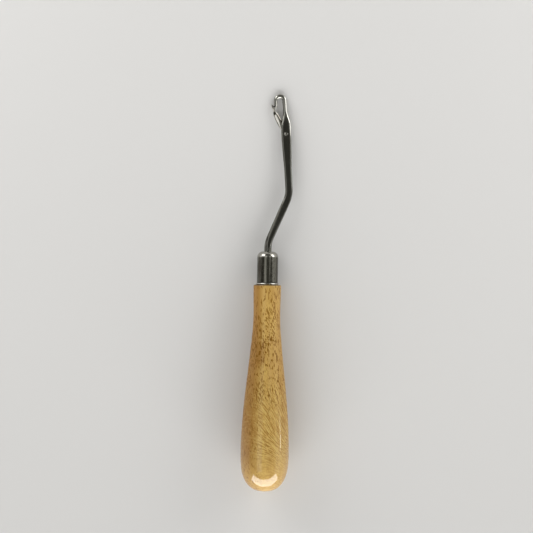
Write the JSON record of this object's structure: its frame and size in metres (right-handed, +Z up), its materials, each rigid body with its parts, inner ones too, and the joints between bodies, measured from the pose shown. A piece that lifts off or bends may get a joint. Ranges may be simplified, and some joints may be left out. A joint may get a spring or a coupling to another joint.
{
  "type": "bent latch hook",
  "caption": "Hand tool with a turned wooden handle and a cranked steel shank that ends in a hook closed by a swinging latch, for knotting cut yarn onto canvas mesh.",
  "frame": {"origin": "bottom centre of the bounding box: on the table under the middle of the tool's length, with the tool lying on its side as it comes to rest on its belly and on the crown of the hook", "axes": "+Z up from the table, +Y along the tool from the butt towards the hook, +X to the side that the shank is cranked to; the handle's axis dips 3.66 degrees below +Y"},
  "size_m": [0.0194, 0.1586, 0.0198],
  "materials": {
    "lacquered_wood": "yellow-tan hardwood with fine dark flecks, under satin lacquer",
    "ferrule_metal": "bright nickel plate, with faint drawing marks along it",
    "shank_metal": "bright nickel plate over formed steel rod",
    "latch_metal": "bright nickel plate over stamped steel",
    "rivet_metal": "peened steel, worn bright"
  },
  "bodies": {
    "tool": {"handle": "lacquered_wood", "ferrule": "ferrule_metal", "hook_shank": "shank_metal", "latch_rivet": "rivet_metal"},
    "latch": {"latch": "latch_metal"}
  },
  "joints": [
    {"name": "latch_pivot", "type": "hinge", "parent": "tool", "child": "latch", "pos_m": [0.0066, 0.06334, 0.00184], "axis": [0, 0.0639, 0.998], "range_deg": [0, 142]}
  ]
}
